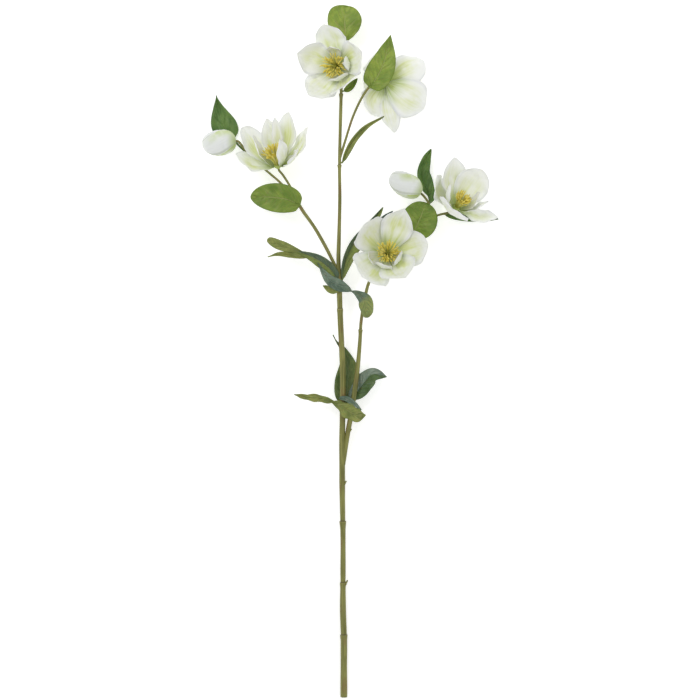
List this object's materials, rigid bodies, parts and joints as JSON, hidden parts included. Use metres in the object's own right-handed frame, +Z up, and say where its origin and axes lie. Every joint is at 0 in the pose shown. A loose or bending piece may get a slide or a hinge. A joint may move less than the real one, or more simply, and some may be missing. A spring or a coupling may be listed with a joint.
{
  "type": "hellebore flower",
  "caption": "Cut branched hellebore stem with open white-green blooms, closed buds and leaves, lying on its back.",
  "frame": {"origin": "on the surface under the middle of the spray's box", "axes": "+X across the spray, +Y along the stem towards the top bloom, +Z up from the surface it lies on"},
  "size_m": [0.3264, 0.7646, 0.0721],
  "materials": {
    "stem": "satin",
    "petals": "matte",
    "stamens": "matte",
    "carpels": "matte",
    "buds": "matte",
    "upper_leaves": "satin",
    "lower_leaves": "satin"
  },
  "bodies": {
    "root": {"stem": "stem", "petals_top": "petals", "stamens_top": "stamens", "carpels_top": "carpels", "petals_upper_right": "petals", "stamens_upper_right": "stamens", "carpels_upper_right": "carpels", "petals_left": "petals", "stamens_left": "stamens", "carpels_left": "carpels", "petals_middle": "petals", "stamens_middle": "stamens", "carpels_middle": "carpels", "petals_right": "petals", "stamens_right": "stamens", "carpels_right": "carpels", "bud_left": "buds", "bud_right": "buds", "leaf_top": "upper_leaves", "leaf_over_bloom": "upper_leaves", "leaf_under_top": "upper_leaves", "leaf_narrow": "upper_leaves", "leaf_behind_left_bud": "upper_leaves", "leaf_left_fork": "upper_leaves", "leaf_behind_right_bud": "upper_leaves", "leaf_right_fork": "upper_leaves", "leaf_under_right": "upper_leaves", "leaf_cluster_left": "lower_leaves", "leaf_cluster_front": "lower_leaves", "leaf_cluster_right": "lower_leaves", "leaf_lower_back": "lower_leaves", "leaf_lower_right": "lower_leaves", "leaf_lower_front": "lower_leaves"}
  },
  "joints": []
}
